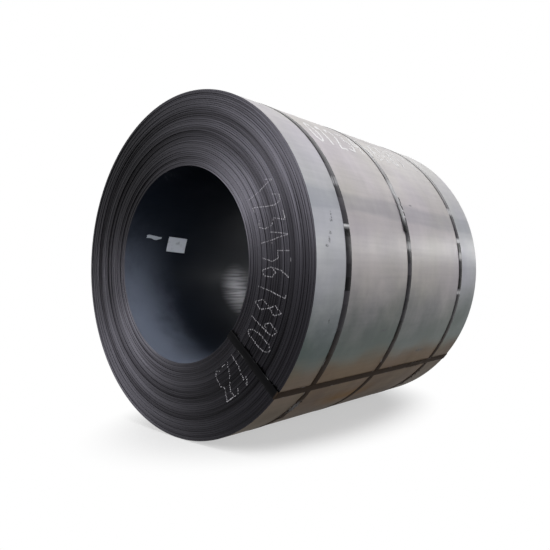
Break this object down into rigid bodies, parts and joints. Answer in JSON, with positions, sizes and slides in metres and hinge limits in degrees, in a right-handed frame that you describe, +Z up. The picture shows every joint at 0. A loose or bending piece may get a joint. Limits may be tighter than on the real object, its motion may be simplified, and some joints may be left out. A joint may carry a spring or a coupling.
{
  "type": "strapped steel coil",
  "caption": "Hot-rolled steel strip wound into a coil with an open eye, lying on its side, held by steel straps round its girth and a strap through the eye.",
  "frame": {"origin": "on the axis of the eye, halfway along the strip's width", "axes": "+Z up, +Y along the axis of the eye, from the front end to the back end"},
  "size_m": [1.338, 1.2586, 1.3379],
  "materials": {
    "rolled_strip": "mill scale, satin",
    "strapping": "black waxed steel strapping",
    "card": "blank card",
    "tape": "torn paper tape"
  },
  "bodies": {
    "root": {"coil": "rolled_strip", "girth_strap_front": "strapping", "girth_strap_middle": "strapping", "girth_strap_rear": "strapping", "eye_strap": "strapping", "label": "card", "torn_tape": "tape"}
  },
  "joints": []
}
